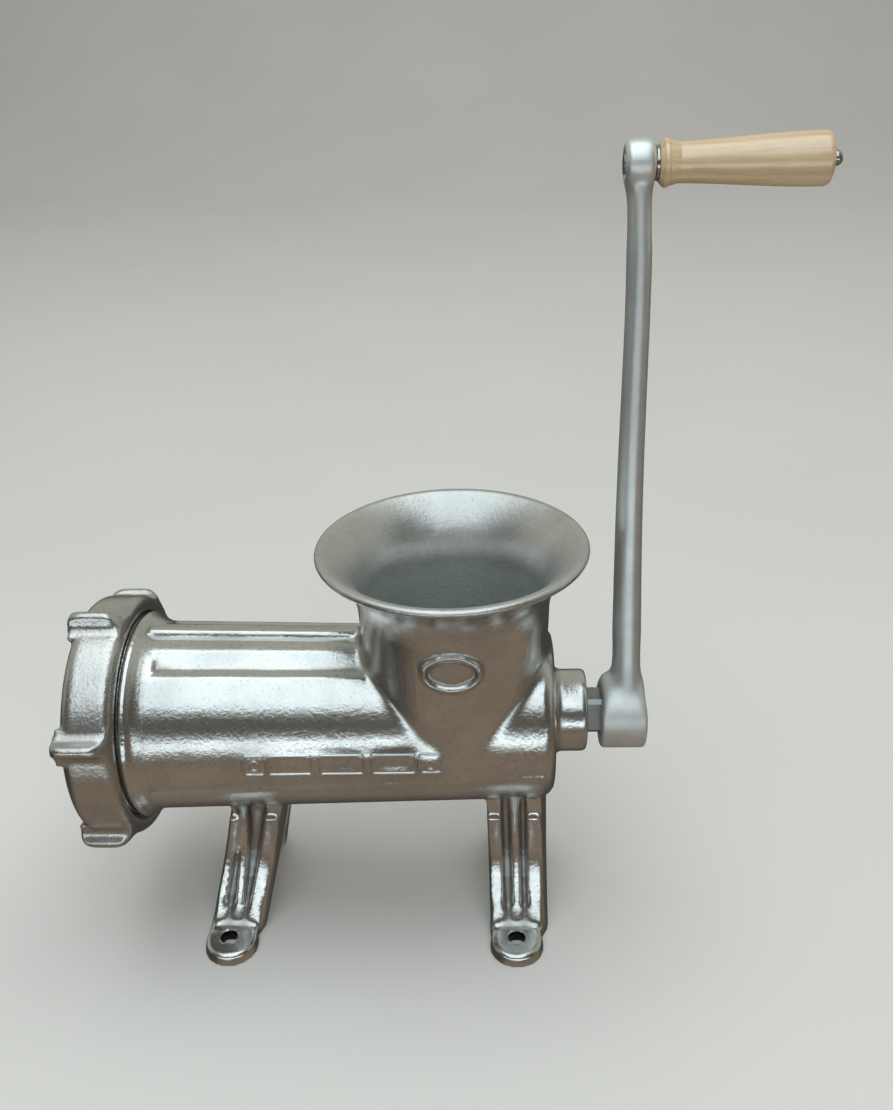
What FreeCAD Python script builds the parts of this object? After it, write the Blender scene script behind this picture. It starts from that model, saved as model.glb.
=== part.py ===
"""Hand crank meat grinder, modelled piece by piece in millimetres.

Own frame: +Z is up and +X runs along the feed screw from the outlet to the crank.
The origin is the centre of the four foot holes, on the plane that the feet rest on.
"""
import FreeCAD, Part
import math
import os

Vector = FreeCAD.Vector
os.makedirs("parts", exist_ok=True)

# ---- driving dimensions ------------------------------------------------------------
axis_height = 125.0          # feed screw axis above the table

# Barrel, from the outlet (-X) to the rear wall (+X).
mouth_x = -143.0             # front face of the casting
shoulder_x = -122.0          # collar shoulder, just behind the ring nut
panel_start_x = -114.0       # where the ribbed outside of the barrel begins
panel_end_x = 96.6           # where it ends at the rounded rear corner
rear_face_x = 102.8          # outside of the rear wall
boss_end_x = 120.7           # end of the shaft boss
collar_r = 57.0
thread_crest_r = 55.5
barrel_front_r = 51.6
barrel_rear_r = 46.6
boss_r = 22.5
bore_front_r = 45.8
bore_rear_r = 41.0
rear_wall_x = 92.0           # inside of the rear wall
recess_r = 50.1              # seat for the grinding plate
recess_depth = 9.0

# Ribs and panels on the outside of the barrel, as angles from the top in degrees.
spine_top_half = 2.5
spine_base_half = 4.6
spine_height = 3.6
upper_panel_top = 15.5
upper_panel_foot = 27.0
upper_panel_drop = 2.6
main_panel_top = 34.0
skirt_angle_front = 109.5
skirt_angle_rear = 101.0
skirt_step = 0.9

# Hopper.
hopper_x = 50.0
rim_height = 104.0           # rim above the feed screw axis
rim_r = 70.5
rim_thickness = 4.2
neck_r = 50.2
neck_foot_r = 48.2
throat_r = 45.6
throat_foot_r = 43.6
flare_foot = 66.0            # where the flare starts above the axis

# Feet.
foot_x = 81.5
foot_y = 52.5
foot_hole_r = 4.5
pad_r = 15.2                 # at the table
pad_top_r = 14.0
pad_thickness = 7.0
pad_edge = 3.0               # rounding of the pad's upper edge
pad_tongue_y = 36.0          # inner end of the pad, under the leg

# Legs. The front legs splay forward, the rear ones stand upright.
rear_leg_width = 29.6
rear_leg_slope = -0.012
rear_bands = (8.0, 8.0)      # widths of the front-end and rear-end bands
rear_rib_shift = 0.6         # rib centre, from the middle of the leg
front_leg_width = 28.0
front_bands = (6.0, 8.4)
front_rib_shift = 1.6
front_leg_slope = 0.236      # millimetres along X for each millimetre of height
front_rib_slope = 0.132
front_leg_foot_x = -81.4     # middle of the front leg at the table
front_pad_x = -80.3          # the front pads sit slightly to the rear of their holes
rib_width = 5.2
side_draft = 3.4             # the legs grow this much wider towards their inner face
side_draft_depth = 8.0       # over this depth
column_top = axis_height - 22.0
column_foot = 75.5           # the leg's top column ends at a small ledge here
column_y = 29.0              # outer face of the column
leg_back_y = 15.5            # inner face of the column

# Outer face of the bands below the ledge, as (height, y).
band_outline = [(74.0, 31.4), (60.0, 29.6), (48.0, 29.2), (40.0, 30.6), (30.0, 34.2),
                (20.0, 38.2), (10.0, 42.4), (0.0, 46.4)]
# Floor of the grooves beside the rib, which runs out onto the pad.
floor_outline = [(74.0, 24.0), (48.0, 22.4), (36.0, 25.0), (24.0, 30.6), (14.0, 37.0),
                 (7.0, 42.8), (0.0, 45.6)]
# Inner face of the leg, from the column to the table.
back_outline = [(74.0, 15.5), (44.0, 14.6), (24.0, 19.0), (8.0, 27.0), (0.0, 31.0)]
# Outer edge of the middle rib, which grows into a gusset under the barrel.
rib_outline = [(102.0, 40.0), (88.0, 34.6), (70.0, 29.0), (56.0, 27.6), (44.0, 29.0),
               (30.0, 33.6), (16.0, 39.4), (4.0, 44.6)]

# Ring nut.
ring_front_x = -150.0
ring_gap = 0.6
ring_r = 66.0
ring_bore_r = 55.8
ring_mouth_r = 45.0
ring_lip = 3.9
lug_count = 6
lug_phase = 10.5             # degrees from the top to the first lug
lug_tip_r = 74.4
lug_half_thickness = 3.2
lug_flare = 6.5              # how far the concave root spreads to each side
lug_overhang = 2.6           # how far the lugs stand out in front of the ring

# Grinding plate, knife and stud.
plate_r = 49.8
plate_front_x = -145.8
plate_back_x = -136.0
plate_hole_r = 4.0
plate_bore_r = 6.43
pilot_r = 6.35
plate_rows = [(17.5, 8), (27.5, 14), (37.8, 20)]   # row radius, holes in the row
key_x = (mouth_x + plate_back_x) / 2
key_r = 2.0
key_length = 7.0             # a blind hole, short of the thread
key_foot = 46.5              # lower end of the key above the feed screw axis
knife_front_x = -136.0
knife_back_x = -126.4
knife_r = 43.5
knife_hub_r = 14.0
blade_width = 15.0
stud_side = 14.0
stud_root_r = 6.0
stud_root_length = 22.0

# Feed screw.
screw_front_x = -126.0
screw_collar_x = 79.7        # front of the thrust collar
screw_collar_r = 24.0
journal_x = 85.7
journal_r = 12.44
square_x = 121.0
square_end_x = 152.0
square_side = 19.6
core_front_r = 20.0
core_rear_r = 15.0
flight_gap = 0.8
flight_pitch = 46.0
flight_root = 9.0
flight_tip = 5.0
flight_start_x = -121.0
flight_end_x = 75.0

# Rear bush and thrust washer.
bush_r = 16.0
bush_bore_r = 12.5
bush_flange_r = 23.0
bush_flange = 3.0
washer_thickness = 3.0

# Crank, drawn upright and then leaned back.
crank_lean = 9.3             # degrees from upright, towards +Y
crank_throw = 283.4
hub_x = 140.4
hub_length = 24.4
hub_r = 20.8
eye_x = 142.5
eye_length = 14.8
eye_r = 12.0
set_screw_r = 5.0
set_screw_length = 10.0
# height above the screw axis, centre x, thickness along x, width across
arm_stations = [
    (16.0, 142.6, 16.0, 30.0),
    (40.0, 142.4, 15.4, 23.0),
    (90.0, 142.0, 14.2, 21.0),
    (150.0, 142.4, 13.0, 19.5),
    (205.0, 143.4, 12.3, 18.5),
    (274.0, 142.6, 12.6, 19.0),
]

# Grip and spindle.
spindle_r = 5.0
grip_bore_r = 5.08
grip_start_x = 151.4
grip_end_x = 231.0
grip_collar_r = 11.2
grip_neck_r = 9.3
grip_swell_r = 12.5
spindle_washer_r = 8.0
spindle_washer_thickness = 1.0
spindle_shoulder_x = grip_end_x - 1.7
spindle_tail_r = 3.0         # turned down behind the shoulder to take the outer washer
grip_rim_round = 3.0
grip_recess_r = 8.4
grip_recess_depth = 2.0
rivet_r = 3.6
rivet_end_x = grip_end_x + 5.6
rivet_crown = 2.6            # rounding of the rivet's head

# Cast decoration, kept plain.
badge_rise = 57.0            # middle of the badge above the feed screw axis
badge_line = 2.2             # width of the raised line
badge_length = 30.0
badge_height = 21.0
badge_proud = 1.3
frame_length = 24.0
frame_height = 12.4
strip_rise = 1.5             # middle of the strip above the feed screw axis
strip_reach = 49.6           # outside of the barrel behind the strip
strip_root = 35.0            # the raised pieces start inside the wall
frame_proud = 0.9
frame_line = 1.4             # width of the raised line
frame_x = [-35.5, -8.5, 18.5]
stud_boss_x = [-55.0, 38.0]
stud_boss_size = 9.5
stud_boss_proud = 0.9

ALONG_X = Vector(1, 0, 0)
UP = Vector(0, 0, 1)


# ---- helpers ------------------------------------------------------------------------
def cylinder_x(radius, x0, x1, y=0.0, z=axis_height):
    """Round bar along X from x0 to x1."""
    return Part.makeCylinder(radius, x1 - x0, Vector(x0, y, z), ALONG_X)


def cone_x(r0, r1, x0, x1):
    """Tapered bar along X on the feed screw axis."""
    return Part.makeCone(r0, r1, x1 - x0, Vector(x0, 0, axis_height), ALONG_X)


def box(x0, x1, y0, y1, z0, z1):
    """Block between two corners."""
    return Part.makeBox(x1 - x0, y1 - y0, z1 - z0, Vector(x0, y0, z0))


def polar(x, radius, degrees, side):
    """Point on a circle about the feed screw axis, its angle taken from the top."""
    angle = math.radians(degrees)
    return Vector(x, side * radius * math.sin(angle), axis_height + radius * math.cos(angle))


def arc(a, b, c):
    """Edge of a circle through three points."""
    return Part.Arc(a, b, c).toShape()


def line(a, b):
    """Straight edge."""
    return Part.LineSegment(a, b).toShape()


def revolve_x(points):
    """Solid of revolution about the feed screw axis from (x, radius) corners."""
    corners = [Vector(x, 0, axis_height + r) for x, r in points]
    face = Part.Face(Part.makePolygon(corners + [corners[0]]))
    return face.revolve(Vector(0, 0, axis_height), ALONG_X, 360)


def at_hopper(radius, height):
    """Point of the hopper's outline at a height above the feed screw axis."""
    return Vector(hopper_x + radius, 0, axis_height + height)


def save(name, shape):
    """Write one piece and print what it is."""
    shape.exportStep("parts/" + name + ".step")
    solids = len(shape.Solids)
    print(f"{name:24s} solids {solids}  valid {shape.isValid()}  volume {shape.Volume / 1000:.2f} cm3")


# ---- housing: barrel ------------------------------------------------------------------
def barrel_side(x, radius, skirt_angle, side):
    """Edges of half a barrel section, from the top of the spine to the bottom."""
    def spine_point(half_width, rise):
        reach = math.sqrt((radius + rise) ** 2 - half_width ** 2)
        return Vector(x, side * half_width, axis_height + reach)

    def on_circle(degrees, offset=0.0):
        return polar(x, radius + offset, degrees, side)

    base_angle = math.degrees(math.asin(spine_base_half / radius))
    crest = Vector(x, 0, axis_height + radius + spine_height)
    spine_edge = spine_point(spine_top_half, spine_height)
    skirt_end = skirt_angle + 1.5
    bottom = Vector(x, 0, axis_height - radius - skirt_step)
    return [
        line(crest, spine_edge),
        line(spine_edge, on_circle(base_angle)),
        arc(on_circle(base_angle), on_circle((base_angle + upper_panel_top) / 2),
            on_circle(upper_panel_top)),
        line(on_circle(upper_panel_top), on_circle(upper_panel_foot, -upper_panel_drop)),
        line(on_circle(upper_panel_foot, -upper_panel_drop), on_circle(main_panel_top)),
        arc(on_circle(main_panel_top), on_circle((main_panel_top + skirt_angle) / 2),
            on_circle(skirt_angle)),
        line(on_circle(skirt_angle), on_circle(skirt_end, skirt_step)),
        arc(on_circle(skirt_end, skirt_step), on_circle((skirt_end + 180) / 2, skirt_step),
            bottom),
    ]


def barrel_section(x, radius, skirt_angle):
    """Closed section of the barrel with its spine, panels and skirt."""
    near = barrel_side(x, radius, skirt_angle, -1)
    far = barrel_side(x, radius, skirt_angle, 1)
    return Part.Wire(Part.sortEdges(near + far)[0])


def barrel_outside():
    """Ribbed barrel, its front collar and its rounded rear corner."""
    panels = Part.makeLoft([
        barrel_section(panel_start_x, barrel_front_r, skirt_angle_front),
        barrel_section(panel_end_x, barrel_rear_r, skirt_angle_rear),
    ], True, True)
    front = revolve_x([
        (mouth_x, 0), (mouth_x, thread_crest_r - 1.5), (mouth_x + 1.5, thread_crest_r),
        (shoulder_x, thread_crest_r), (shoulder_x, collar_r - 0.5),
        (shoulder_x + 0.5, collar_r), (shoulder_x + 3.0, collar_r),
        (shoulder_x + 6.0, barrel_front_r + 2.4), (panel_start_x + 2.0, barrel_front_r + 0.4),
        (panel_start_x + 6.0, barrel_front_r - 1.0), (panel_start_x + 6.0, 0),
    ])
    rear = revolve_x([
        (panel_end_x - 3.0, 0), (panel_end_x - 3.0, barrel_rear_r), (panel_end_x, barrel_rear_r),
        (panel_end_x + 3.0, barrel_rear_r - 1.4), (panel_end_x + 5.4, barrel_rear_r - 4.4),
        (rear_face_x, barrel_rear_r - 8.0), (rear_face_x, 0),
    ])
    boss = revolve_x([
        (panel_end_x, 0), (panel_end_x, boss_r + 3.0), (rear_face_x, boss_r + 3.0),
        (rear_face_x + 2.0, boss_r + 0.6), (rear_face_x + 4.0, boss_r),
        (boss_end_x - 2.5, boss_r), (boss_end_x - 0.7, boss_r - 0.8),
        (boss_end_x, boss_r - 2.6), (boss_end_x, 0),
    ])
    return panels.multiFuse([front, rear, boss])


# ---- housing: hopper ------------------------------------------------------------------
def hopper_outside():
    """Neck, trumpet flare and rolled rim as one solid of revolution."""
    nose = rim_thickness / 2
    under = at_hopper(rim_r - nose, rim_height - rim_thickness)
    tip = at_hopper(rim_r, rim_height - nose)
    over = at_hopper(rim_r - nose, rim_height)
    neck = at_hopper(neck_r, flare_foot)
    sweep = at_hopper(neck_r + 5.2, flare_foot + 20.5)
    foot = at_hopper(neck_foot_r, 0.0)
    edges = [
        line(at_hopper(0.0, 0.0), foot),
        line(foot, neck),
        arc(neck, sweep, under),
        arc(under, tip, over),
        line(over, at_hopper(0.0, rim_height)),
        line(at_hopper(0.0, rim_height), at_hopper(0.0, 0.0)),
    ]
    face = Part.Face(Part.Wire(edges))
    return face.revolve(Vector(hopper_x, 0, 0), UP, 360)


def hopper_inside():
    """Space inside the hopper, down to the feed screw axis."""
    lip = at_hopper(rim_r - rim_thickness, rim_height)
    sweep = at_hopper(throat_r + 6.0, flare_foot + 22.0)
    throat = at_hopper(throat_r, flare_foot)
    foot = at_hopper(throat_foot_r, 0.0)
    top = rim_height + 5.0
    edges = [
        line(at_hopper(0.0, 0.0), foot),
        line(foot, throat),
        arc(throat, sweep, lip),
        line(lip, at_hopper(rim_r - rim_thickness, top)),
        line(at_hopper(rim_r - rim_thickness, top), at_hopper(0.0, top)),
        line(at_hopper(0.0, top), at_hopper(0.0, 0.0)),
    ]
    face = Part.Face(Part.Wire(edges))
    return face.revolve(Vector(hopper_x, 0, 0), UP, 360)


# ---- housing: legs --------------------------------------------------------------------
def smooth_edge(points):
    """Smooth edge through (height, y) points in the plane x = 0."""
    curve = Part.BSplineCurve()
    curve.interpolate([Vector(0, y, z) for z, y in points])
    return curve.toShape()


def leg_slab(x0, x1, lead, outline):
    """Slice of a leg: straight along its lead points, then a curved outer face."""
    corners = [Vector(0, y, z) for z, y in lead + outline[:1]]
    top = Vector(0, leg_back_y, column_top)
    back_top = Vector(0, back_outline[0][1], back_outline[0][0])
    back_foot = Vector(0, back_outline[-1][1], back_outline[-1][0])
    foot = Vector(0, outline[-1][1], outline[-1][0])
    edges = [line(a, b) for a, b in zip(corners, corners[1:])]
    edges += [smooth_edge(outline), line(foot, back_foot), smooth_edge(back_outline[::-1])]
    edges += [line(back_top, top), line(top, corners[0])]
    face = Part.Face(Part.Wire(edges))
    face.translate(Vector(x0, 0, 0))
    return face.extrude(Vector(x1 - x0, 0, 0))


def side_wedge(x, column):
    """Waste beside the outer edge of a band, cut away so that the side has draft."""
    fall = side_draft_depth / side_draft
    reach = side_draft + 2.0
    profiles = []
    for z, y in [(column_top + 1.0, column_y)] + column[1:] + band_outline[1:-1] + [(-1.0, 47.0)]:
        corners = [Vector(x - 1.0, y + fall, z), Vector(x + reach, y + fall, z),
                   Vector(x + reach, y - reach * fall, z)]
        profiles.append(Part.makePolygon(corners + corners[:1]))
    return Part.makeLoft(profiles, True, True)


def slanted(shape, slope, foot_centre_x):
    """Slide a shape along X in proportion to height."""
    matrix = FreeCAD.Matrix()
    matrix.A13 = slope
    matrix.A14 = foot_centre_x
    return shape.transformGeometry(matrix)


def leg(width, bands, rib_centre, slope, rib_slope, foot_centre_x):
    """One leg on the +Y side: two bands, a groove floor between them and a middle rib."""
    half = width / 2
    column = [(column_top, column_y), (column_foot, column_y)]
    floor_column = [(column_top, floor_outline[0][1])]
    rib = leg_slab(rib_centre - rib_width / 2, rib_centre + rib_width / 2, [], rib_outline)
    slabs = [
        leg_slab(-half, half, floor_column, floor_outline),
        leg_slab(-half, -half + bands[0], column, band_outline),
        leg_slab(half - bands[1], half + side_draft, column, band_outline),
        side_wedge(half, column),
    ]
    floor, left, right, wedge = [slanted(slab, slope, foot_centre_x) for slab in slabs]
    frame = floor.multiFuse([left, right.cut(wedge)])
    return frame.fuse(slanted(rib, rib_slope, foot_centre_x))


def foot_pad(x):
    """Round pad at the foot, with a short tongue running back under the leg."""
    disc = Part.makeCone(pad_r, pad_top_r, pad_thickness, Vector(x, foot_y, 0))
    upper = [e for e in disc.Edges if e.Closed and e.BoundBox.ZMin > pad_thickness - 0.1]
    disc = disc.makeFillet(pad_edge, upper)
    tongue = box(x - pad_top_r, x + pad_top_r, pad_tongue_y, foot_y, 0, pad_thickness - 0.4)
    return disc.fuse(tongue)


def near_and_far(shape):
    """The shape with its mirror image across the X-Z plane."""
    return [shape, shape.mirror(Vector(0, 0, 0), Vector(0, 1, 0))]


def legs():
    """All four legs with their pads."""
    front = leg(front_leg_width, front_bands, front_rib_shift,
                front_leg_slope, front_rib_slope, front_leg_foot_x)
    rear = leg(rear_leg_width, rear_bands, rear_rib_shift,
               rear_leg_slope, rear_leg_slope, foot_x)
    return (near_and_far(front.fuse(foot_pad(front_pad_x)))
            + near_and_far(rear.fuse(foot_pad(foot_x))))


# ---- housing: decoration --------------------------------------------------------------
def oval_badge():
    """Blank oval badge on the front of the hopper."""
    centre = Vector(hopper_x, -neck_r - badge_proud, axis_height + badge_rise)
    oval = Part.Ellipse(centre, badge_length / 2, badge_height / 2)
    oval.Axis = Vector(0, -1, 0)
    oval.XAxis = Vector(1, 0, 0)
    inner = Part.Ellipse(centre, badge_length / 2 - badge_line, badge_height / 2 - badge_line)
    inner.Axis = Vector(0, -1, 0)
    inner.XAxis = Vector(1, 0, 0)
    ring = Part.Face(Part.Wire(oval.toShape())).extrude(Vector(0, 10, 0))
    hollow = Part.Face(Part.Wire(inner.toShape())).extrude(Vector(0, 10, 0))
    return ring.cut(hollow)


def raised_frames():
    """Row of blank frames and two plain bosses along the front of the barrel."""
    middle = axis_height + strip_rise
    reach = strip_reach
    pieces = []
    for x in frame_x:
        block = box(x - frame_length / 2, x + frame_length / 2, -reach - frame_proud, -strip_root,
                    middle - frame_height / 2, middle + frame_height / 2)
        window = box(x - frame_length / 2 + frame_line, x + frame_length / 2 - frame_line,
                     -reach - frame_proud - 1, -strip_root + 1,
                     middle - frame_height / 2 + frame_line, middle + frame_height / 2 - frame_line)
        pieces.append(block.cut(window))
    for x in stud_boss_x:
        half = stud_boss_size / 2
        pieces.append(box(x - half, x + half, -reach - stud_boss_proud, -strip_root,
                          middle - half, middle + half))
    return pieces


def housing():
    """The whole casting, machined."""
    body = barrel_outside().multiFuse([hopper_outside()] + legs() + [oval_badge()]
                                      + raised_frames())
    bore = cone_x(bore_front_r, bore_rear_r, mouth_x - 1, rear_wall_x)
    recess = cylinder_x(recess_r, mouth_x - 1, mouth_x + recess_depth)
    bush_hole = cylinder_x(bush_r, rear_wall_x - 1, boss_end_x + 1)
    key_hole = Part.makeCylinder(key_r, key_length, Vector(key_x, 0, axis_height + key_foot), UP)
    tools = [bore, recess, bush_hole, hopper_inside(), key_hole]
    for sx in (-1, 1):
        for sy in (-1, 1):
            centre = Vector(sx * foot_x, sy * foot_y, -1)
            tools.append(Part.makeCylinder(foot_hole_r, pad_thickness + 30, centre))
    below = box(-200, 200, -200, 200, -50, 0)
    return body.cut(tools).cut(below)


# ---- rear bush, thrust washer, plate key ------------------------------------------------
def rear_bushing():
    """Flanged bronze bush in the boss."""
    sleeve = cylinder_x(bush_r, rear_wall_x - bush_flange, boss_end_x)
    flange = cylinder_x(bush_flange_r, rear_wall_x - bush_flange, rear_wall_x)
    return sleeve.fuse(flange).cut(cylinder_x(bush_bore_r, 0, 200))


def thrust_washer():
    """Fibre washer between the bush flange and the feed screw's collar."""
    back = rear_wall_x - bush_flange
    disc = cylinder_x(bush_flange_r, back - washer_thickness, back)
    return disc.cut(cylinder_x(bush_bore_r + 0.4, 0, 200))


def plate_key_pin():
    """Dowel that stands into the plate recess from above."""
    return Part.makeCylinder(key_r, key_length, Vector(key_x, 0, axis_height + key_foot), UP)


# ---- feed screw, stud, knife, plate -----------------------------------------------------
def bore_radius(x):
    """Radius of the tapered bore at a position along the barrel."""
    share = (x - mouth_x) / (rear_wall_x - mouth_x)
    return bore_front_r + (bore_rear_r - bore_front_r) * share


def flight():
    """Helical blade, trimmed to the taper of the bore."""
    length = flight_end_x - flight_start_x
    helix = Part.makeHelix(flight_pitch, length, bore_front_r)
    inner_r = core_rear_r - 4.0
    corners = [
        Vector(bore_front_r + 2.0, 0, -flight_tip / 2), Vector(bore_front_r + 2.0, 0, flight_tip / 2),
        Vector(inner_r, 0, flight_root / 2), Vector(inner_r, 0, -flight_root / 2),
    ]
    profile = Part.makePolygon(corners + [corners[0]])
    blade = Part.Wire(helix.Edges).makePipeShell([profile], True, True)
    if blade.Volume < 0:
        blade.reverse()
    blade.rotate(Vector(0, 0, 0), Vector(0, 1, 0), 90)
    blade.translate(Vector(flight_start_x, 0, axis_height))
    x0 = screw_front_x
    x1 = screw_collar_x
    return blade.common(cone_x(bore_radius(x0) - flight_gap, bore_radius(x1) - flight_gap, x0, x1))


def crank_frame(shape):
    """Lean a shape that was drawn on the upright crank."""
    leaned = shape.copy()
    leaned.rotate(Vector(0, 0, axis_height), ALONG_X, -crank_lean)
    return leaned


def square_bar(side, x0, x1):
    """Square bar on the feed screw axis, square to the upright crank."""
    half = side / 2
    return box(x0, x1, -half, half, axis_height - half, axis_height + half)


def feed_screw():
    """Core, flight, thrust collar, journal and squared end."""
    core = cone_x(core_front_r, core_rear_r, screw_front_x, screw_collar_x)
    collar = cylinder_x(screw_collar_r, screw_collar_x, journal_x)
    journal = cylinder_x(journal_r, journal_x, square_x)
    square = square_bar(square_side, square_x - 4.0, square_end_x)
    turned = revolve_x([
        (square_x - 4.0, 0), (square_x - 4.0, journal_r), (square_end_x - 1.5, journal_r),
        (square_end_x, journal_r - 1.5), (square_end_x, 0),
    ])
    tail = crank_frame(square.common(turned))
    body = core.multiFuse([collar, journal, tail, flight()])
    socket = cylinder_x(stud_root_r, screw_front_x - 1, screw_front_x + stud_root_length)
    return body.cut(socket)


def knife_stud():
    """Stud: root in the feed screw, square for the knife, round pilot for the plate."""
    root = cylinder_x(stud_root_r, screw_front_x, screw_front_x + stud_root_length)
    square = square_bar(stud_side, knife_front_x + 0.4, screw_front_x)
    pilot = cylinder_x(pilot_r, plate_front_x + 0.6, knife_front_x + 0.4)
    return crank_frame(root.multiFuse([square, pilot]))


def cross_knife():
    """Four-blade knife with slanted cutting edges."""
    hub = cylinder_x(knife_hub_r, knife_front_x + 0.4, knife_back_x)
    half = blade_width / 2
    blade_face = Part.makePolygon([
        Vector(knife_front_x + 0.4, -half, 0), Vector(knife_front_x + 0.4, half * 0.75, 0),
        Vector(knife_front_x + 3.4, half, 0), Vector(knife_back_x - 1.0, half * 0.55, 0),
        Vector(knife_back_x - 1.0, -half * 0.55, 0), Vector(knife_front_x + 0.4, -half, 0),
    ])
    blade = Part.Face(blade_face).extrude(Vector(0, 0, knife_r))
    blade.translate(Vector(0, 0, axis_height))
    blades = []
    for quarter in range(4):
        turned = blade.copy()
        turned.rotate(Vector(0, 0, axis_height), ALONG_X, 90 * quarter + 45)
        blades.append(turned)
    limit = cylinder_x(knife_r, knife_front_x, knife_back_x)
    knife = hub.multiFuse(blades).common(limit)
    return crank_frame(knife.cut(square_bar(stud_side, knife_front_x - 1, knife_back_x + 1)))


def grinding_plate():
    """Perforated plate with a centre bore and a key notch in its rim."""
    plate = cylinder_x(plate_r, plate_front_x, plate_back_x)
    holes = [cylinder_x(plate_bore_r, plate_front_x - 1, plate_back_x + 1)]
    for row_r, count in plate_rows:
        for index in range(count):
            angle = 2 * math.pi * (index + 0.5) / count
            y = row_r * math.sin(angle)
            z = axis_height + row_r * math.cos(angle)
            holes.append(cylinder_x(plate_hole_r, plate_front_x - 1, plate_back_x + 1, y, z))
    notch_half = key_r + 0.3
    notch = box(plate_front_x - 1, plate_back_x + 1, -notch_half, notch_half,
                axis_height + 46.0, axis_height + plate_r + 2)
    return plate.cut(holes + [notch])


# ---- ring nut -----------------------------------------------------------------------------
def lug(degrees):
    """One wing on the ring: a rounded tip on a root that spreads into the rim."""
    x0 = ring_front_x - lug_overhang
    x1 = shoulder_x - ring_gap
    half = lug_half_thickness
    spread = half + lug_flare
    root_r = ring_r - 4.0
    rim = ring_r - 1.0           # just under the rim, where the spread root ends
    waist_r = ring_r + 4.8       # where the root has narrowed to the wing
    tip_r = lug_tip_r - half

    def point(y, radius):
        return Vector(x0, y, radius)

    edges = [
        line(point(-spread, root_r), point(-spread, rim)),
        arc(point(-spread, rim), point(-half - lug_flare * 0.3, ring_r + 0.9),
            point(-half, waist_r)),
        line(point(-half, waist_r), point(-half, tip_r)),
        arc(point(-half, tip_r), point(0, lug_tip_r), point(half, tip_r)),
        line(point(half, tip_r), point(half, waist_r)),
        arc(point(half, waist_r), point(half + lug_flare * 0.3, ring_r + 0.9),
            point(spread, rim)),
        line(point(spread, rim), point(spread, root_r)),
        line(point(spread, root_r), point(-spread, root_r)),
    ]
    wing = Part.Face(Part.Wire(edges)).extrude(Vector(x1 - x0, 0, 0))
    wing.rotate(Vector(0, 0, 0), ALONG_X, degrees)
    wing.translate(Vector(0, 0, axis_height))
    return wing


def ring_nut():
    """Screwed ring with its lip, bevelled edges and lugs."""
    back = shoulder_x - ring_gap
    front = ring_front_x
    nose = front - lug_overhang
    body = revolve_x([
        (front, 0), (front, ring_r - 6.0), (front + 1.4, ring_r - 2.6), (front + 4.0, ring_r - 0.6),
        (front + 6.5, ring_r), (back - 4.0, ring_r), (back - 1.2, ring_r - 1.8),
        (back, ring_r - 4.6), (back, 0),
    ])
    envelope = revolve_x([
        (front + 0.5, 0), (front + 0.5, ring_r - 6.0), (nose, lug_tip_r - 7.0),
        (nose + 0.5, lug_tip_r - 4.2), (nose + 1.9, lug_tip_r - 2.0),
        (nose + 4.4, lug_tip_r - 0.6), (front + 6.5, lug_tip_r + 0.2),
        (back - 11.0, lug_tip_r + 0.2), (back - 7.0, lug_tip_r - 1.2),
        (back - 3.8, lug_tip_r - 4.4), (back - 1.6, ring_r - 0.4), (back - 0.4, ring_r - 3.6),
        (back - 0.4, 0),
    ])
    wings = []
    for index in range(lug_count):
        wings.append(lug(lug_phase + index * 360 / lug_count).common(envelope))
    ring = body.multiFuse(wings)
    mouth = cylinder_x(ring_mouth_r, front - 5, back + 5)
    bore = cylinder_x(ring_bore_r, front + ring_lip, back + 5)
    counterbore = cylinder_x(collar_r + 0.6, back - 2.5, back + 5)
    return ring.cut([mouth, bore, counterbore])


# ---- crank ----------------------------------------------------------------------------------
def crank_ellipse(height, centre_x, thick, wide):
    """Closed oval section of the crank arm at a height above the screw axis."""
    centre = Vector(centre_x, 0, axis_height + height)
    oval = Part.Ellipse(centre, wide / 2, thick / 2)
    oval.XAxis = Vector(0, 1, 0)
    return Part.Wire(oval.toShape())


def rounded_disc(radius, x0, x1, z, edge):
    """Round boss along X with bevelled rims."""
    disc = Part.makeCylinder(radius, x1 - x0, Vector(x0, 0, z), ALONG_X)
    return disc.makeFillet(edge, [e for e in disc.Edges if e.Closed])


def crank_arm():
    """Cast crank with its hub, oval arm and eye for the spindle."""
    sections = [crank_ellipse(*station) for station in arm_stations]
    arm = Part.makeLoft(sections, True, False)
    hub = rounded_disc(hub_r, hub_x - hub_length / 2, hub_x + hub_length / 2, axis_height, 2.2)
    eye_z = axis_height + crank_throw
    eye = rounded_disc(eye_r, eye_x - eye_length / 2, eye_x + eye_length / 2, eye_z, 3.0)
    body = arm.multiFuse([hub, eye])
    socket = square_bar(square_side, hub_x - hub_length, hub_x + hub_length)
    spindle_hole = Part.makeCylinder(spindle_r, 40, Vector(eye_x - 20, 0, eye_z), ALONG_X)
    screw_hole = Part.makeCylinder(set_screw_r, 30, Vector(hub_x, 0, axis_height),
                                   Vector(0, 1, 0))
    return crank_frame(body.cut([socket, spindle_hole, screw_hole]))


def crank_set_screw():
    """Socket set screw that bears on a flat of the squared end."""
    start = square_side / 2
    screw = Part.makeCylinder(set_screw_r, set_screw_length, Vector(hub_x, start, axis_height),
                              Vector(0, 1, 0))
    screw = screw.makeChamfer(0.6, [e for e in screw.Edges if e.Closed])
    across = 5.0
    corners = []
    for index in range(6):
        angle = math.radians(60 * index)
        reach = across / math.sqrt(3)
        corners.append(Vector(hub_x + reach * math.cos(angle),
                              start + set_screw_length - 4.0,
                              axis_height + reach * math.sin(angle)))
    socket = Part.Face(Part.makePolygon(corners + [corners[0]])).extrude(Vector(0, 6, 0))
    return crank_frame(screw.cut(socket))


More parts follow.
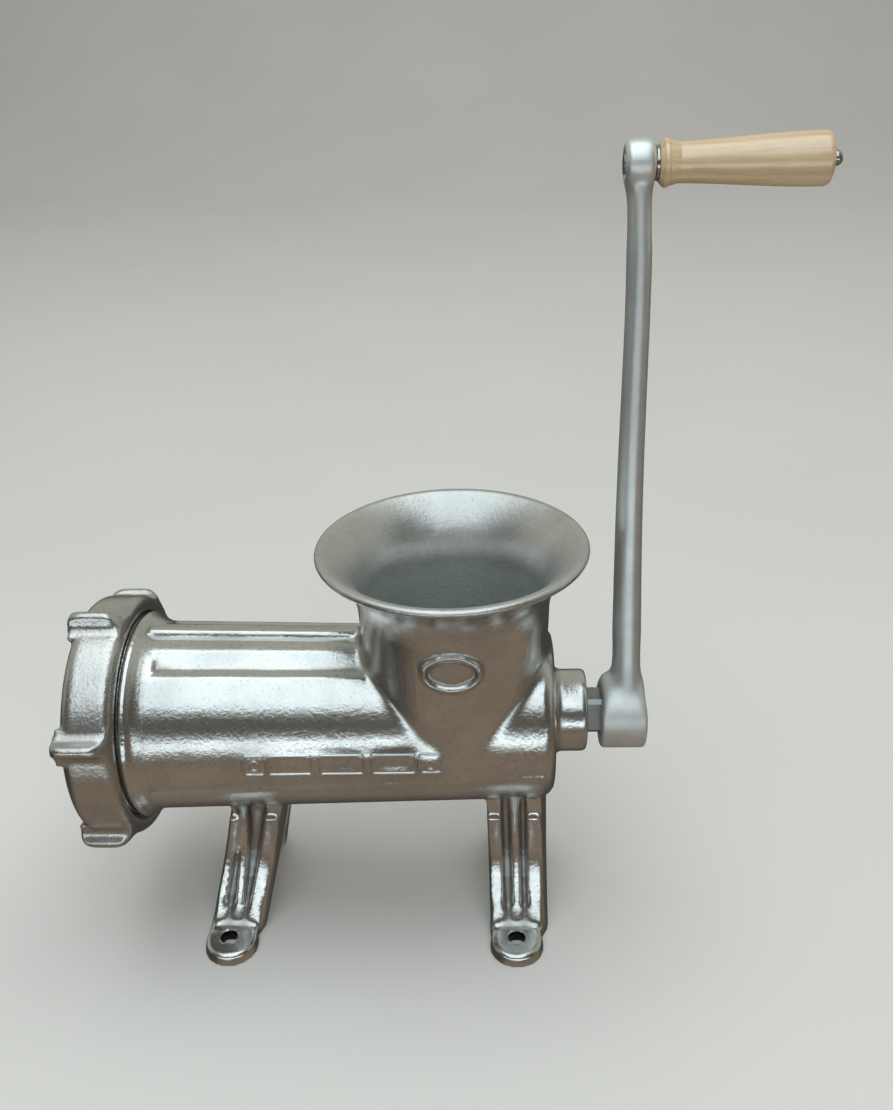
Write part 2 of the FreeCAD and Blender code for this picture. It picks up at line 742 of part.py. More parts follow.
# ---- grip and spindle -----------------------------------------------------------------------
def revolve_grip(edges):
    """Solid of revolution about the spindle axis."""
    face = Part.Face(Part.Wire(edges))
    return face.revolve(Vector(0, 0, axis_height + crank_throw), ALONG_X, 360)


def grip_point(x, radius):
    """Point of the grip's outline."""
    return Vector(x, 0, axis_height + crank_throw + radius)


def handle_grip():
    """Turned wooden grip: bead, neck and a swell up to a flat end with a rounded rim."""
    bead = grip_start_x + 3.2
    neck = grip_start_x + 9.5
    swell = grip_end_x - grip_rim_round
    rim_r = grip_swell_r - grip_rim_round
    bulge = 0.29 * grip_rim_round          # how far the middle of a quarter arc lies inside its corner
    recess_x = grip_end_x - grip_recess_depth
    outline = Part.BSplineCurve()
    outline.interpolate([
        grip_point(neck, grip_neck_r), grip_point(grip_start_x + 38.0, 10.8),
        grip_point(grip_start_x + 62.0, 12.2), grip_point(swell, grip_swell_r),
    ])
    edges = [
        line(grip_point(grip_start_x, grip_bore_r), grip_point(grip_start_x, 8.6)),
        line(grip_point(grip_start_x, 8.6), grip_point(bead - 1.4, grip_collar_r - 0.6)),
        arc(grip_point(bead - 1.4, grip_collar_r - 0.6), grip_point(bead, grip_collar_r),
            grip_point(bead + 1.6, grip_collar_r - 0.7)),
        line(grip_point(bead + 1.6, grip_collar_r - 0.7), grip_point(neck, grip_neck_r)),
        outline.toShape(),
        arc(grip_point(swell, grip_swell_r), grip_point(grip_end_x - bulge, grip_swell_r - bulge),
            grip_point(grip_end_x, rim_r)),
        line(grip_point(grip_end_x, rim_r), grip_point(grip_end_x, grip_recess_r)),
        line(grip_point(grip_end_x, grip_recess_r), grip_point(recess_x, grip_recess_r)),
        line(grip_point(recess_x, grip_recess_r), grip_point(recess_x, grip_bore_r)),
        line(grip_point(recess_x, grip_bore_r), grip_point(grip_start_x, grip_bore_r)),
    ]
    return crank_frame(revolve_grip(edges))


def spindle_washer(x, hole_r):
    """Thin steel washer on the spindle."""
    z = axis_height + crank_throw
    disc = Part.makeCylinder(spindle_washer_r, spindle_washer_thickness, Vector(x, 0, z), ALONG_X)
    hole = Part.makeCylinder(hole_r, 10, Vector(x - 5, 0, z), ALONG_X)
    return crank_frame(disc.cut(hole))


def handle_spindle():
    """Rod fixed in the crank's eye, riveted over the outer washer at its far end."""
    start = eye_x - eye_length / 2
    head_x = spindle_shoulder_x + spindle_washer_thickness
    corners = [
        (start, 0), (start, spindle_r), (spindle_shoulder_x, spindle_r),
        (spindle_shoulder_x, spindle_tail_r), (head_x, spindle_tail_r), (head_x, rivet_r),
        (rivet_end_x - rivet_crown, rivet_r),
    ]
    shank = []
    for (xa, ra), (xb, rb) in zip(corners, corners[1:]):
        shank.append(line(grip_point(xa, ra), grip_point(xb, rb)))
    crown = grip_point(rivet_end_x, rivet_r * 0.4)
    shoulder = grip_point(rivet_end_x - rivet_crown * 0.35, rivet_r * 0.82)
    shank.append(arc(grip_point(*corners[-1]), shoulder, crown))
    shank.append(line(crown, grip_point(rivet_end_x, 0)))
    shank.append(line(grip_point(rivet_end_x, 0), grip_point(start, 0)))
    return crank_frame(revolve_grip(shank))


pieces = {
    "housing": housing,
    "rear_bushing": rear_bushing,
    "thrust_washer": thrust_washer,
    "plate_key_pin": plate_key_pin,
    "feed_screw": feed_screw,
    "knife_stud": knife_stud,
    "cross_knife": cross_knife,
    "grinding_plate": grinding_plate,
    "ring_nut": ring_nut,
    "crank_arm": crank_arm,
    "crank_set_screw": crank_set_screw,
    "handle_spindle": handle_spindle,
    "handle_grip": handle_grip,
}
for name, make in pieces.items():
    save(name, make())
save("inner_spindle_washer", spindle_washer(eye_x + eye_length / 2 + 0.2, spindle_r))
save("outer_spindle_washer", spindle_washer(spindle_shoulder_x, spindle_tail_r))
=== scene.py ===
import math

import bpy
import numpy as np
from mathutils import Matrix, Vector
from mathutils.bvhtree import BVHTree

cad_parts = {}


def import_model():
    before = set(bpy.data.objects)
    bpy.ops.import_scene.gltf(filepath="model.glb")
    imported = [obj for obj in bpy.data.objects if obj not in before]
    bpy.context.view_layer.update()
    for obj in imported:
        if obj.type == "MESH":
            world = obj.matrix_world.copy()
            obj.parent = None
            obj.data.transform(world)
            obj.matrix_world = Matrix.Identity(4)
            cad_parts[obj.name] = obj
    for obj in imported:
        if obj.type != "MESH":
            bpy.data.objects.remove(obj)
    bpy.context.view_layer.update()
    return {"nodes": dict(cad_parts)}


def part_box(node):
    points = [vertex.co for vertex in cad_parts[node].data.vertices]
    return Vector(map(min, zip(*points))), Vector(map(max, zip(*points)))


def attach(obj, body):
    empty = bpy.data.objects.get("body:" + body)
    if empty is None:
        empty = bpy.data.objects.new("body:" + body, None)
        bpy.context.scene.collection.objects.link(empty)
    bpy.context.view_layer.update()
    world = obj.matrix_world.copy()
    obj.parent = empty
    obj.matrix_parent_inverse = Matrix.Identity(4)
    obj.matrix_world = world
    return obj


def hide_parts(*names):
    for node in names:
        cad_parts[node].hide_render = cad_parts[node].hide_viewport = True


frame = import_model()
nodes = frame["nodes"]

# ---- places read from the frame, and sizes, in metres --------------------------------
MM = 0.001
housing_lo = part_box("housing")[0]
plate_lo, plate_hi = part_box("grinding_plate")
ring_lo, ring_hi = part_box("ring_nut")
grip_lo, grip_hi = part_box("handle_grip")

AXIS_Z = (plate_lo.z + plate_hi.z) / 2          # height of the feed screw's axis
HOPPER_X = 50 * MM                              # middle of the hopper along the axis
FOOT_X, FOOT_Y, FOOT_HOLE_R = 81.5 * MM, 52.5 * MM, 4.5 * MM
STRIP_Z = AXIS_Z + 1.5 * MM                     # middle of the strip of frames
GRIP_AXIS = (grip_lo + grip_hi) / 2
LEAN = math.atan2(GRIP_AXIS.y, GRIP_AXIS.z - AXIS_Z)     # of the crank, from upright
THROW = math.hypot(GRIP_AXIS.y, GRIP_AXIS.z - AXIS_Z)    # from the axis to the grip

THREAD_PITCH = 4 * MM
BARREL_THREAD_R = (54.0 * MM, 56.5 * MM)        # radii that the barrel's thread lies between
BARREL_THREAD_END = -122.4 * MM
RING_THREAD_R = (54.5 * MM, 57.0 * MM)

HOUSING_VOXEL, RING_VOXEL, CRANK_VOXEL = 1.0 * MM, 0.8 * MM, 0.8 * MM
HOUSING_FACES, RING_FACES, CRANK_FACES = 190000, 90000, 60000
HOLLOW_ROUNDS, HOLLOW_DEPTH = 14, 0.5 * MM      # how far round and how deep a hollow is felt
SOFTEN = (0.5,)                                 # relax shares that round a shape off

HOPPER_R, BARREL_R = 49 * MM, 50 * MM           # where the hopper meets the barrel
LUG_ROOT_R, LUG_FULL_R = 65.5 * MM, 68 * MM     # between these the lugs' extra rounding sets in
FRAME_XS, FRAME_LOOP = (-35.5, -8.5, 18.5), (11.4, 5.8, 1.2)    # places, half sizes, corner
BOSS_XS, BOSS_LOOPS = (-54.0, 37.5), ((6.0, 5.8, 2.2), (1.9, 2.9, 1.8))
LINE_WIDTH, LINE_HEIGHT = 1.5 * MM, 0.9 * MM

CAMERA_PLACE = (0.0727, -0.4967, 0.4793)
CAMERA_PITCH, CAMERA_YAW, CAMERA_ROLL = 27.34, 2.94, -2.10      # degrees
LENS_MM, SENSOR_MM = 35.29, 36.0


# ---- stage, camera and light ------------------------------------------------------------
def camera():
    """The viewing angle: above and in front of the badge side."""
    pitch, yaw, roll = (math.radians(a) for a in (CAMERA_PITCH, CAMERA_YAW, CAMERA_ROLL))
    turn = Matrix.Rotation(yaw, 3, "Z")
    right = turn @ Vector((1, 0, 0))
    forward = turn @ Vector((0, math.cos(pitch), -math.sin(pitch)))
    up = turn @ Vector((0, math.sin(pitch), math.cos(pitch)))
    level_right = math.cos(roll) * right + math.sin(roll) * up
    level_up = -math.sin(roll) * right + math.cos(roll) * up
    data = bpy.data.cameras.new("camera")
    data.sensor_width = SENSOR_MM
    data.lens = LENS_MM
    data.clip_start = 0.02
    data.clip_end = 100.0
    cam = bpy.data.objects.new("camera", data)
    cam.matrix_world = Matrix.Translation(CAMERA_PLACE) @ Matrix(
        (level_right, level_up, -forward)).transposed().to_4x4()
    bpy.context.scene.collection.objects.link(cam)
    bpy.context.scene.camera = cam


def area_light(name, place, target, size, radiance, colour, in_reflections=True):
    """Soft panel that faces a target and shows at this radiance, though not to the camera."""
    data = bpy.data.lights.new(name, "AREA")
    data.shape = "RECTANGLE"
    data.size, data.size_y = size
    data.energy = radiance * math.pi * size[0] * size[1]
    data.color = colour
    lamp = bpy.data.objects.new(name, data)
    lamp.location = place
    lamp.rotation_mode = "QUATERNION"
    lamp.rotation_quaternion = (Vector(target) - Vector(place)).to_track_quat("-Z", "Y")
    lamp.visible_camera = False
    lamp.visible_glossy = in_reflections
    bpy.context.scene.collection.objects.link(lamp)


def panel_at(name, elevation, distance, shift, size, radiance, colour):
    """Panel in front of the badge side at this elevation, shifted along X, facing the barrel."""
    e = math.radians(elevation)
    centre = Vector((shift, 0.0, AXIS_Z))
    out = Vector((0.0, -math.cos(e), math.sin(e)))
    area_light(name, centre + out * distance, centre, size, radiance, colour)


def lights():
    """A cool panel overhead, a low one in front, and two fills that no reflection shows."""
    cool, warm = (0.84, 0.96, 1.0), (1.0, 0.985, 0.96)
    panel_at("key_overhead", 72.0, 1.9, -0.15, (2.1, 2.8), 1.27, cool)
    panel_at("low_front", -6.0, 1.6, -0.1, (3.3, 0.38), 1.65, cool)
    area_light("floor_fill", (0.3, 1.1, 3.4), (0, 1.6, 0), (4.0, 4.0), 1.15, warm,
               in_reflections=False)
    area_light("front_fill", (0.5, -1.5, 1.5), (0.1, 0, 0.3), (1.3, 1.3), 1.1, warm,
               in_reflections=False)


def world():
    """Room tones: brown below in front, dark below behind, dim ahead, beige above and behind."""
    scene_world = bpy.data.worlds.new("room")
    bpy.context.scene.world = scene_world
    scene_world.use_nodes = True
    tree = scene_world.node_tree
    background = tree.nodes["Background"]
    coords = tree.nodes.new("ShaderNodeTexCoord")
    split = tree.nodes.new("ShaderNodeSeparateXYZ")
    tree.links.new(coords.outputs["Generated"], split.inputs[0])

    def step(socket, low, high):
        node = tree.nodes.new("ShaderNodeMapRange")
        node.interpolation_type = "SMOOTHSTEP"
        node.inputs["From Min"].default_value = low
        node.inputs["From Max"].default_value = high
        tree.links.new(socket, node.inputs["Value"])
        return node.outputs["Result"]

    def mix(factor, first, second):
        node = tree.nodes.new("ShaderNodeMix")
        node.data_type = "RGBA"
        tree.links.new(factor, node.inputs[0])
        for index, value in ((6, first), (7, second)):
            if isinstance(value, tuple):
                node.inputs[index].default_value = (*value, 1.0)
            else:
                tree.links.new(value, node.inputs[index])
        return node.outputs[2]

    x, y, z = split.outputs
    ahead = (0.10, 0.088, 0.072)
    above = (0.40, 0.40, 0.345)
    near_floor = mix(step(z, -0.92, -0.72), (0.20, 0.165, 0.13), (0.235, 0.185, 0.137))
    near_floor = mix(step(z, -0.62, -0.30), near_floor, (0.155, 0.125, 0.092))
    far_floor = (0.060, 0.057, 0.050)
    lower = mix(step(y, -0.05, 0.55), near_floor, far_floor)
    lower = mix(step(x, -0.82, -0.50), far_floor, lower)
    upper = mix(step(y, -0.40, 0.15), ahead, above)
    tree.links.new(mix(step(z, -0.12, 0.04), lower, upper), background.inputs["Color"])
    background.inputs["Strength"].default_value = 1.0


def floor():
    """Plain pale floor at the feet, which curves up far behind into a plain wall."""
    half, bend, turn_y, wall_top = 9.0, 1.5, 2.4, 7.0
    profile = [(-6.0, 0.0), (0.0, 0.0), (turn_y, 0.0)]
    for step in range(1, 25):
        angle = math.radians(90 * step / 24)
        profile.append((turn_y + bend * math.sin(angle), bend * (1 - math.cos(angle))))
    profile.append((turn_y + bend, wall_top))
    corners = [(x, y, z) for y, z in profile for x in (-half, half)]
    faces = [(2 * i, 2 * i + 1, 2 * i + 3, 2 * i + 2) for i in range(len(profile) - 1)]
    mesh = bpy.data.meshes.new("floor")
    mesh.from_pydata(corners, [], faces)
    for polygon in mesh.polygons:
        polygon.use_smooth = True
    plane = bpy.data.objects.new("floor", mesh)
    bpy.context.scene.collection.objects.link(plane)
    plane.data.materials.append(plain_material("pale_floor", (0.72, 0.715, 0.70), 0.8))
    plane.visible_glossy = False


# ---- material building blocks ---------------------------------------------------------
class Nodes:
    """Short names for building one material's node tree."""

    def __init__(self, name):
        self.material = bpy.data.materials.new(name)
        self.material.use_nodes = True
        self.tree = self.material.node_tree
        self.shader = self.tree.nodes["Principled BSDF"]
        self.coords = self.add("ShaderNodeTexCoord")

    def add(self, kind, **settings):
        """New node with these settings."""
        node = self.tree.nodes.new(kind)
        for key, value in settings.items():
            setattr(node, key, value)
        return node

    def link(self, source, target):
        self.tree.links.new(source, target)

    def place(self, scale):
        """Object coordinates in metres, stretched by scale."""
        mapping = self.add("ShaderNodeMapping")
        mapping.inputs["Scale"].default_value = scale
        self.link(self.coords.outputs["Object"], mapping.inputs["Vector"])
        return mapping.outputs["Vector"]

    def noise(self, scale, detail=2.0, rough=0.5, vector=None, distortion=0.0):
        """Noise from 0 to 1, with about this many features to the metre."""
        node = self.add("ShaderNodeTexNoise")
        node.inputs["Scale"].default_value = scale
        node.inputs["Detail"].default_value = detail
        node.inputs["Roughness"].default_value = rough
        node.inputs["Distortion"].default_value = distortion
        self.link(vector or self.coords.outputs["Object"], node.inputs["Vector"])
        return node.outputs["Fac"]

    def remap(self, value, low, high, to_low=0.0, to_high=1.0, smooth=True):
        """Value brought from one range to another, held at the ends."""
        node = self.add("ShaderNodeMapRange")
        node.interpolation_type = "SMOOTHSTEP" if smooth else "LINEAR"
        node.inputs["From Min"].default_value = low
        node.inputs["From Max"].default_value = high
        node.inputs["To Min"].default_value = to_low
        node.inputs["To Max"].default_value = to_high
        self.link(value, node.inputs["Value"])
        return node.outputs["Result"]

    def maths(self, operation, a, b=None):
        """Result of an operation on sockets or numbers."""
        node = self.add("ShaderNodeMath", operation=operation)
        for socket, value in zip(node.inputs, (a, b)):
            if value is None:
                continue
            if isinstance(value, (int, float)):
                socket.default_value = value
            else:
                self.link(value, socket)
        return node.outputs[0]

    def mix(self, factor, a, b):
        """Colour between a and b."""
        node = self.add("ShaderNodeMix", data_type="RGBA")
        if isinstance(factor, (int, float)):
            node.inputs[0].default_value = factor
        else:
            self.link(factor, node.inputs[0])
        for index, value in ((6, a), (7, b)):
            if isinstance(value, tuple):
                node.inputs[index].default_value = (*value, 1.0)
            else:
                self.link(value, node.inputs[index])
        return node.outputs[2]

    def attribute(self, name):
        """Value stored on the mesh."""
        node = self.add("ShaderNodeAttribute", attribute_name=name)
        return node.outputs["Fac"]

    def position(self):
        """x, y and z on the object, in metres."""
        node = self.add("ShaderNodeSeparateXYZ")
        self.link(self.coords.outputs["Object"], node.inputs[0])
        return node.outputs

    def bump(self, height, strength, distance, normal=None):
        """Surface direction tilted by a height, on top of another bump if there is one."""
        node = self.add("ShaderNodeBump")
        node.inputs["Strength"].default_value = strength
        node.inputs["Distance"].default_value = distance
        self.link(height, node.inputs["Height"])
        if normal is not None:
            self.link(normal, node.inputs["Normal"])
        return node.outputs["Normal"]

    def set(self, **values):
        """Give the shader numbers, colours or sockets, and return the material."""
        names = {"colour": "Base Color", "rough": "Roughness", "metal": "Metallic",
                 "normal": "Normal", "coat": "Coat Weight", "coat_rough": "Coat Roughness",
                 "coat_ior": "Coat IOR"}
        for key, value in values.items():
            socket = self.shader.inputs[names[key]]
            if isinstance(value, tuple):
                socket.default_value = (*value, 1.0)
            elif isinstance(value, (int, float)):
                socket.default_value = value
            else:
                self.link(value, socket)
        return self.material


def plain_material(name, colour, rough):
    """Matt paint with the faintest unevenness."""
    n = Nodes(name)
    speckle = n.noise(3.0, 2.0)
    shade = n.mix(n.remap(speckle, 0.3, 0.7), tuple(0.97 * c for c in colour), colour)
    return n.set(colour=shade, rough=rough, metal=0.0)


def hypot_of(n, a, b):
    """Length of the two-value vector (a, b)."""
    return n.maths("SQRT", n.maths("ADD", n.maths("MULTIPLY", a, a), n.maths("MULTIPLY", b, b)))


def thread_bump(n, normal, radii, start_x, end_x):
    """Helical screw thread round the barrel's axis, between two radii and two places."""
    inside_r, outside_r = radii
    x, y, z = n.position()
    up = n.maths("SUBTRACT", z, AXIS_Z)
    radius = hypot_of(n, y, up)
    turns = n.maths("MULTIPLY", n.maths("ARCTAN2", y, up), 1 / (2 * math.pi))
    phase = n.maths("ADD", n.maths("MULTIPLY", x, 1 / THREAD_PITCH), turns)
    wave = n.maths("SINE", n.maths("MULTIPLY", phase, 2 * math.pi))
    mask = n.maths("MULTIPLY", n.remap(radius, inside_r - 0.3 * MM, inside_r),
                   n.remap(radius, outside_r, outside_r + 0.3 * MM, 1.0, 0.0))
    mask = n.maths("MULTIPLY", mask, n.remap(x, start_x, start_x + 0.8 * MM))
    mask = n.maths("MULTIPLY", mask, n.remap(x, end_x - 0.8 * MM, end_x, 1.0, 0.0))
    return n.bump(n.maths("MULTIPLY", wave, mask), 1.0, 0.55 * MM, normal)


def throat_mask(n):
    """1 inside the hopper's well below its flare, 0 elsewhere."""
    x, y, z = n.position()
    radius = hypot_of(n, n.maths("SUBTRACT", x, HOPPER_X), y)
    inside = n.remap(radius, 46.6 * MM, 48.0 * MM, 1.0, 0.0)
    deep = n.remap(z, AXIS_Z + 62 * MM, AXIS_Z + 76 * MM, 1.0, 0.0)
    high = n.remap(z, AXIS_Z, AXIS_Z + 6 * MM)
    return n.maths("MULTIPLY", n.maths("MULTIPLY", inside, deep), high)


def flare_mask(n):
    """1 on the inside of the hopper's flare, which is left as cast, 0 elsewhere."""
    geometry = n.add("ShaderNodeNewGeometry")
    facing = n.add("ShaderNodeSeparateXYZ")
    n.link(geometry.outputs["Normal"], facing.inputs[0])
    high = n.remap(n.position()[2], AXIS_Z + 60 * MM, AXIS_Z + 72 * MM)
    return n.maths("MULTIPLY", n.remap(facing.outputs[2], 0.02, 0.30), high)


def bolt_hole_shade_mask(n):
    """1 on the walls of the holes in the feet, 0 elsewhere: where near-black painted shade goes."""
    x, y, z = n.position()
    across = n.maths("SUBTRACT", n.maths("ABSOLUTE", x), FOOT_X)
    along = n.maths("SUBTRACT", n.maths("ABSOLUTE", y), FOOT_Y)
    radius = hypot_of(n, across, along)
    hole = n.remap(radius, FOOT_HOLE_R + 0.2 * MM, FOOT_HOLE_R + 0.8 * MM, 1.0, 0.0)
    return n.maths("MULTIPLY", hole, n.remap(z, 20 * MM, 30 * MM, 1.0, 0.0))


def tinned_material(name, colour, rough, grain=1.0, housing=False):
    """Hot-tinned casting: bright, with orange-peel grain, pits and painted shade darkening its
    hollows.
    """
    n = Nodes(name)
    peel = n.noise(560.0, 3.0, 0.60)
    fine = n.noise(1700.0, 2.0, 0.6)
    swell = n.noise(110.0, 2.0, 0.5)
    cloud = n.noise(28.0, 3.0, 0.6)
    hollow = n.remap(n.attribute("hollow"), 0.2, 1.0)

    dull = tuple(0.86 * c for c in colour)
    tone = n.mix(n.remap(cloud, 0.35, 0.68), colour, dull)
    tone = n.mix(n.remap(peel, 0.30, 0.46, 0.30, 0.0), tone, tuple(0.45 * c for c in colour))
    # painted shade: hollows, from the mesh's hollow attribute, are coloured darker as if in shadow
    tone = n.mix(n.maths("MULTIPLY", hollow, 0.55), tone, (0.22, 0.205, 0.175))
    roughness = n.remap(cloud, 0.3, 0.7, rough * 0.9, rough * 1.15, smooth=False)
    roughness = n.maths("ADD", roughness, n.remap(fine, 0.3, 0.8, -0.02, 0.06, smooth=False))
    roughness = n.maths("ADD", roughness, n.maths("MULTIPLY", hollow, 0.15))

    pits = n.add("ShaderNodeTexVoronoi")
    pits.inputs["Scale"].default_value = 170.0
    n.link(n.coords.outputs["Object"], pits.inputs["Vector"])
    pit = n.remap(pits.outputs["Distance"], 0.0, 0.085, 1.0, 0.0)
    pit = n.maths("MULTIPLY", pit, n.remap(n.noise(42.0, 1.0), 0.56, 0.66))
    tone = n.mix(n.maths("MULTIPLY", pit, 0.7), tone, (0.12, 0.11, 0.10))

    normal = n.bump(swell, 0.12 * grain, 1.0 * MM)
    normal = n.bump(peel, 0.55 * grain, 0.24 * MM, normal)
    normal = n.bump(fine, 0.30 * grain, 0.07 * MM, normal)
    normal = n.bump(n.maths("MULTIPLY", pit, -1.0), 0.5, 0.30 * MM, normal)
    if housing:
        well = throat_mask(n)
        tone = n.mix(n.maths("MULTIPLY", well, 0.9), tone, (0.42, 0.48, 0.455))
        roughness = n.maths("ADD", roughness, n.maths("MULTIPLY", well, 0.22))
        roughness = n.maths("ADD", roughness, n.maths("MULTIPLY", flare_mask(n), 0.17))
        n.set(metal=n.maths("SUBTRACT", 1.0, n.maths("MULTIPLY", well, 0.55)))
        rough_cast = n.maths("MULTIPLY", well, n.noise(300.0, 4.0, 0.65))
        normal = n.bump(rough_cast, 0.8, 0.7 * MM, normal)
        # painted shade: the walls of the feet's bolt holes are coloured near black, as if unlit
        tone = n.mix(bolt_hole_shade_mask(n), tone, (0.03, 0.033, 0.035))
        normal = thread_bump(n, normal, BARREL_THREAD_R, housing_lo.x, BARREL_THREAD_END)
    else:
        n.set(metal=1.0)
        normal = thread_bump(n, normal, RING_THREAD_R, ring_lo.x + 7 * MM, ring_hi.x - 2 * MM)
    return n.set(colour=tone, rough=roughness, normal=normal)


def crank_material():
    """Satin light alloy with grinding marks on the hub."""
    n = Nodes("crank_metal_look")
    grain = n.noise(1500.0, 3.0, 0.6)
    cloud = n.noise(60.0, 3.0, 0.6)
    marks = n.noise(1.0, 3.0, 0.6, n.place((900.0, 900.0, 60.0)))
    hollow = n.remap(n.attribute("hollow"), 0.15, 0.9)
    tone = n.mix(n.remap(cloud, 0.3, 0.7), (0.92, 0.96, 0.97), (0.82, 0.87, 0.89))
    # painted shade: hollows on the crank, from the hollow attribute, are coloured dark grey as if
    # in shadow
    tone = n.mix(n.maths("MULTIPLY", hollow, 0.5), tone, (0.26, 0.26, 0.25))
    roughness = n.remap(grain, 0.3, 0.7, 0.38, 0.52, smooth=False)
    z = n.position()[2]
    hub = n.remap(z, AXIS_Z + 26 * MM, AXIS_Z + 34 * MM, 1.0, 0.0)
    normal = n.bump(grain, 0.35, 0.12 * MM)
    normal = n.bump(n.noise(260.0, 2.0), 0.30, 0.18 * MM, normal)
    normal = n.bump(n.maths("MULTIPLY", marks, hub), 0.6, 0.20 * MM, normal)
    roughness = n.maths("ADD", roughness, n.maths("MULTIPLY", hub, 0.08))
    return n.set(colour=tone, rough=roughness, metal=0.92, normal=normal)


def wood_material():
    """Pale turned hardwood under clear varnish, its grain along the grip, with a knot."""
    n = Nodes("varnished_wood_look")
    x, _, z = n.position()
    knot_x = n.maths("SUBTRACT", x, grip_lo.x + 18 * MM)
    knot_z = n.maths("SUBTRACT", z, GRIP_AXIS.z - 1 * MM)
    knot = hypot_of(n, n.maths("MULTIPLY", knot_x, 0.55), knot_z)
    near_knot = n.remap(knot, 0.8 * MM, 3.2 * MM, 1.0, 0.0)
    warp = n.noise(18.0, 2.0)
    rings = n.noise(1.0, 3.0, 0.55, n.place((9.0, 190.0, 190.0)), 0.6)
    fibre = n.noise(1.0, 4.0, 0.7, n.place((60.0, 1300.0, 1300.0)))
    pores = n.noise(1.0, 2.0, 0.5, n.place((140.0, 2400.0, 2400.0)))
    light, mid, dark = (0.71, 0.53, 0.32), (0.58, 0.39, 0.20), (0.34, 0.19, 0.08)
    tone = n.mix(n.remap(rings, 0.32, 0.70), light, mid)
    tone = n.mix(n.maths("MULTIPLY", n.remap(fibre, 0.46, 0.75), 0.45), tone, dark)
    tone = n.mix(n.maths("MULTIPLY", n.remap(warp, 0.4, 0.7), 0.25), tone, (0.70, 0.51, 0.32))
    tone = n.mix(n.maths("MULTIPLY", n.remap(pores, 0.62, 0.78), 0.45), tone, (0.34, 0.20, 0.10))
    swirl = n.maths("SINE", n.maths("MULTIPLY", knot, 6200.0))
    tone = n.mix(n.maths("MULTIPLY", near_knot, n.remap(swirl, -1.0, 1.0, 0.15, 0.45)), tone,
                 (0.46, 0.27, 0.12))
    normal = n.bump(fibre, 0.15, 0.15 * MM)
    return n.set(colour=tone, rough=0.40, metal=0.0, normal=normal, coat=1.0, coat_rough=0.30,
                 coat_ior=2.2)


def turned_material(name, colour, rough, stretch, strength=0.3):
    """Machined metal with fine tool marks, finest along the axes that stretch is large for."""
    n = Nodes(name)
    marks = n.noise(1.0, 3.0, 0.6, n.place(stretch))
    cloud = n.noise(70.0, 3.0, 0.6)
    tone = n.mix(n.remap(cloud, 0.3, 0.7), colour, tuple(0.78 * c for c in colour))
    roughness = n.remap(marks, 0.3, 0.7, rough * 0.8, rough * 1.3, smooth=False)
    normal = n.bump(marks, strength, 0.08 * MM)
    return n.set(colour=tone, rough=roughness, metal=1.0, normal=normal)


def fibre_material():
    """Red-brown pressed fibre with flecks."""
    n = Nodes("fibre_look")
    flecks = n.noise(900.0, 3.0, 0.6)
    tone = n.mix(n.remap(flecks, 0.35, 0.7), (0.26, 0.10, 0.06), (0.36, 0.16, 0.10))
    return n.set(colour=tone, rough=0.65, metal=0.0, normal=n.bump(flecks, 0.3, 0.1 * MM))


def set_material(thing, material):
    """Give a whole piece one material."""
    if thing.data.materials:
        for index in range(len(thing.data.materials)):
            thing.data.materials[index] = material
    else:
        thing.data.materials.append(material)


# ---- mesh building blocks ---------------------------------------------------------------
def new_object(name, mesh):
    """Mesh placed in the scene as a piece."""
    thing = bpy.data.objects.new(name, mesh)
    bpy.context.scene.collection.objects.link(thing)
    return thing


def points_of(mesh):
    """Vertex places, one row each."""
    flat = np.empty(len(mesh.vertices) * 3, np.float32)
    mesh.vertices.foreach_get("co", flat)
    return flat.reshape(-1, 3).astype(np.float64)


def set_points(mesh, points):
    mesh.vertices.foreach_set("co", points.astype(np.float32).ravel())
    mesh.update()


def applied(thing):
    """Replace a piece's mesh by its mesh with the modifiers applied."""
    graph = bpy.context.evaluated_depsgraph_get()
    mesh = bpy.data.meshes.new_from_object(thing.evaluated_get(graph))
    thing.modifiers.clear()
    thing.data = mesh


def edges_of(mesh):
    """Vertex pairs of the edges, one row each."""
    pairs = np.empty(len(mesh.edges) * 2, np.int64)
    mesh.edges.foreach_get("vertices", pairs)
    return pairs.reshape(-1, 2)


def neighbour_mean(values, pairs, count):
    """Mean of each vertex's neighbours."""
    size = len(values)
    ends = np.concatenate([pairs[:, 0], pairs[:, 1]])
    others = np.concatenate([pairs[:, 1], pairs[:, 0]])
    columns = [np.bincount(ends, values[others, axis], size) for axis in range(3)]
    return np.stack(columns, 1) / np.maximum(count, 1)[:, None]


def relax(mesh, weights, rounds, shares=(0.55, -0.50)):
    """Smooth a mesh by weights. The default shares step back each time and keep its volume."""
    pairs = edges_of(mesh)
    points = points_of(mesh)
    count = np.bincount(pairs.ravel(), minlength=len(points)).astype(float)
    for _ in range(rounds):
        for share in shares:
            step = neighbour_mean(points, pairs, count) - points
            points = points + share * weights[:, None] * step
    set_points(mesh, points)


def mark_hollows(mesh, rounds, depth):
    """Store how far each vertex lies in a hollow as the attribute hollow, from 0 to 1, which the
    materials use to paint shade into hollows.
    """
    pairs = edges_of(mesh)
    points = points_of(mesh)
    count = np.bincount(pairs.ravel(), minlength=len(points)).astype(float)
    mean = points
    for _ in range(rounds):
        mean = neighbour_mean(mean, pairs, count)
    normals = np.empty(len(points) * 3, np.float32)
    mesh.vertices.foreach_get("normal", normals)
    rise = ((mean - points) * normals.reshape(-1, 3)).sum(1)
    hollow = np.clip(rise / depth, 0, 1)
    layer = mesh.attributes.new("hollow", "FLOAT", "POINT")
    layer.data.foreach_set("value", hollow.astype(np.float32))


def cast_copy(node, name, voxel):
    """Even-meshed copy of a CAD node, ready to be softened like a casting."""
    thing = new_object(name, nodes[node].data.copy())
    remesh = thing.modifiers.new("remesh", "REMESH")
    remesh.mode = "VOXEL"
    remesh.voxel_size = voxel
    remesh.use_smooth_shade = True
    applied(thing)
    return thing


